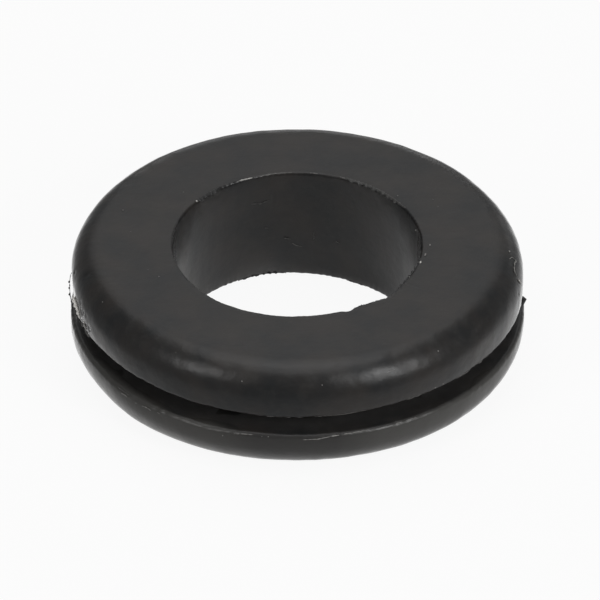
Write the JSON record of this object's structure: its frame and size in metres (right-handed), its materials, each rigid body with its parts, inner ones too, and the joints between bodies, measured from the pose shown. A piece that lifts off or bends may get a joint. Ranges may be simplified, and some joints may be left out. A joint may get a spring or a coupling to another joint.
{
  "type": "rubber grommet",
  "caption": "Round black rubber grommet that lines a panel hole: a thick ring with a through bore, rounded flanges and a narrow groove that grips the panel's edge.",
  "frame": {"origin": "centre of the lower face, on the bore's axis", "axes": "+Z along the bore, from the lower flange to the upper flange; the ring is round about it"},
  "size_m": [0.0286, 0.0286, 0.0077],
  "materials": {
    "black_rubber": "satin"
  },
  "bodies": {
    "root": {"grommet": "black_rubber"}
  },
  "joints": []
}
